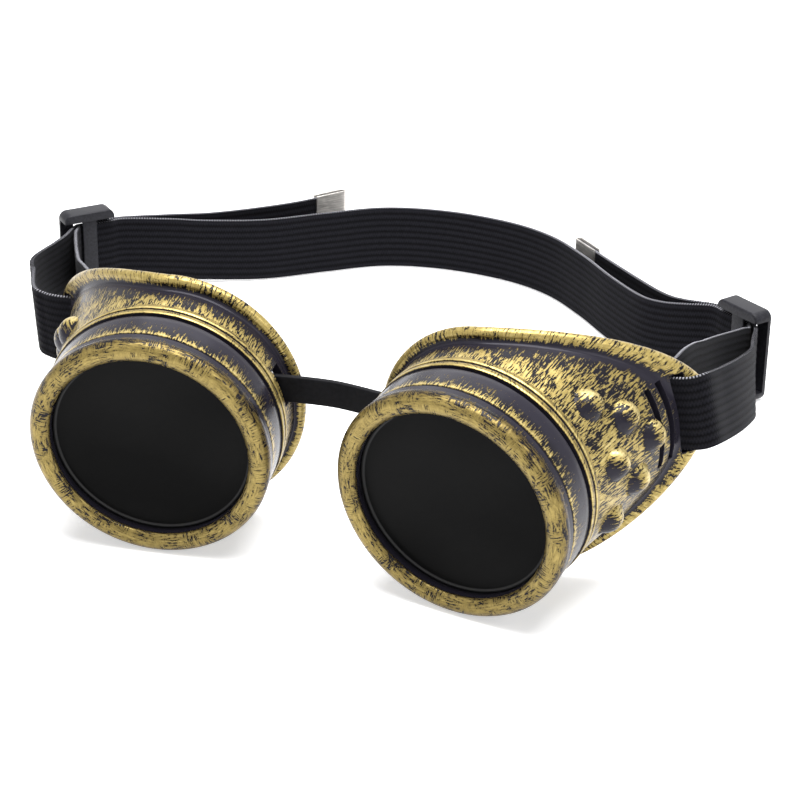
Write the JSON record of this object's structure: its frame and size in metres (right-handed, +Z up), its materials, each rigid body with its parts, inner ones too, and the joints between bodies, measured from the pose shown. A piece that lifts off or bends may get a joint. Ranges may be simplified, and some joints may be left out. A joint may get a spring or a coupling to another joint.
{
  "type": "steampunk goggles",
  "caption": "Round screw-ring goggles with studded flared eye cups, dark lenses, a flexible nose bridge and an adjustable elastic head strap.",
  "frame": {"origin": "on the surface that the goggles lie on, midway between the two lens centres and in line with them", "axes": "+X right as seen from in front of the lenses, +Y back from the lenses towards the strap, +Z up"},
  "size_m": [0.2271, 0.2076, 0.0674],
  "materials": {
    "cup_plastic": "dark grey, dry-brushed with antique gold",
    "ring_plastic": "antique gold rubbed over dark grey",
    "dark_lens": "polished, nearly black",
    "black_rubber": "satin black",
    "black_elastic": "ribbed woven elastic",
    "buckle_plastic": "satin black",
    "nickel_clip": "folded nickel-plated sheet"
  },
  "bodies": {
    "strap": {"strap_back": "black_elastic", "nose_bridge": "black_rubber", "strap_tail_left": "black_elastic", "strap_tail_right": "black_elastic", "strap_loop_left": "black_elastic", "strap_loop_right": "black_elastic", "crimp_left": "nickel_clip", "crimp_right": "nickel_clip"},
    "cup_left": {"eye_cup_left": "cup_plastic", "lens_gasket_left": "black_rubber"},
    "lens_left": {"lens_left": "dark_lens"},
    "ring_left": {"lens_ring_left": "ring_plastic"},
    "slider_left": {"slider_left": "buckle_plastic"},
    "cup_right": {"eye_cup_right": "cup_plastic", "lens_gasket_right": "black_rubber"},
    "lens_right": {"lens_right": "dark_lens"},
    "ring_right": {"lens_ring_right": "ring_plastic"},
    "slider_right": {"slider_right": "buckle_plastic"}
  },
  "joints": [
    {"name": "cup_left_flex", "type": "hinge", "parent": "strap", "child": "cup_left", "pos_m": [-0.01419, 0.02346, 0.04054], "axis": [0, 0.1253, -0.9921], "range_deg": [-10, 12], "stiffness_Nm_per_rad": 0.05, "deforming": ["strap_loop_left"]},
    {"name": "lens_left_travel", "type": "slide", "parent": "cup_left", "child": "lens_left", "axis": [0.1495, -0.981, -0.1239], "range_m": [0, 0.006]},
    {"name": "ring_left_turn", "type": "hinge", "parent": "lens_left", "child": "ring_left", "pos_m": [-0.0385, 0, 0.02992], "axis": [0.1495, -0.981, -0.1239], "range_deg": [0, 720]},
    {"name": "slider_left_slide", "type": "slide", "parent": "strap", "child": "slider_left", "axis": [0.6561, 0.7547, 0], "range_m": [0, 0.005]},
    {"name": "cup_right_flex", "type": "hinge", "parent": "strap", "child": "cup_right", "pos_m": [0.01419, 0.02346, 0.04054], "axis": [0, -0.1253, 0.9921], "range_deg": [-10, 12], "stiffness_Nm_per_rad": 0.05, "deforming": ["strap_loop_right"]},
    {"name": "lens_right_travel", "type": "slide", "parent": "cup_right", "child": "lens_right", "axis": [-0.1495, -0.981, -0.1239], "range_m": [0, 0.006]},
    {"name": "ring_right_turn", "type": "hinge", "parent": "lens_right", "child": "ring_right", "pos_m": [0.0385, 0, 0.02992], "axis": [-0.1495, -0.981, -0.1239], "range_deg": [0, 720]},
    {"name": "slider_right_slide", "type": "slide", "parent": "strap", "child": "slider_right", "axis": [-0.8387, 0.5446, 0], "range_m": [0, 0.005]}
  ],
  "couplings": [
    {"joint": "ring_left_turn", "follows": "lens_left_travel", "rad_per_m": 2094.4},
    {"joint": "ring_right_turn", "follows": "lens_right_travel", "rad_per_m": 2094.4}
  ]
}
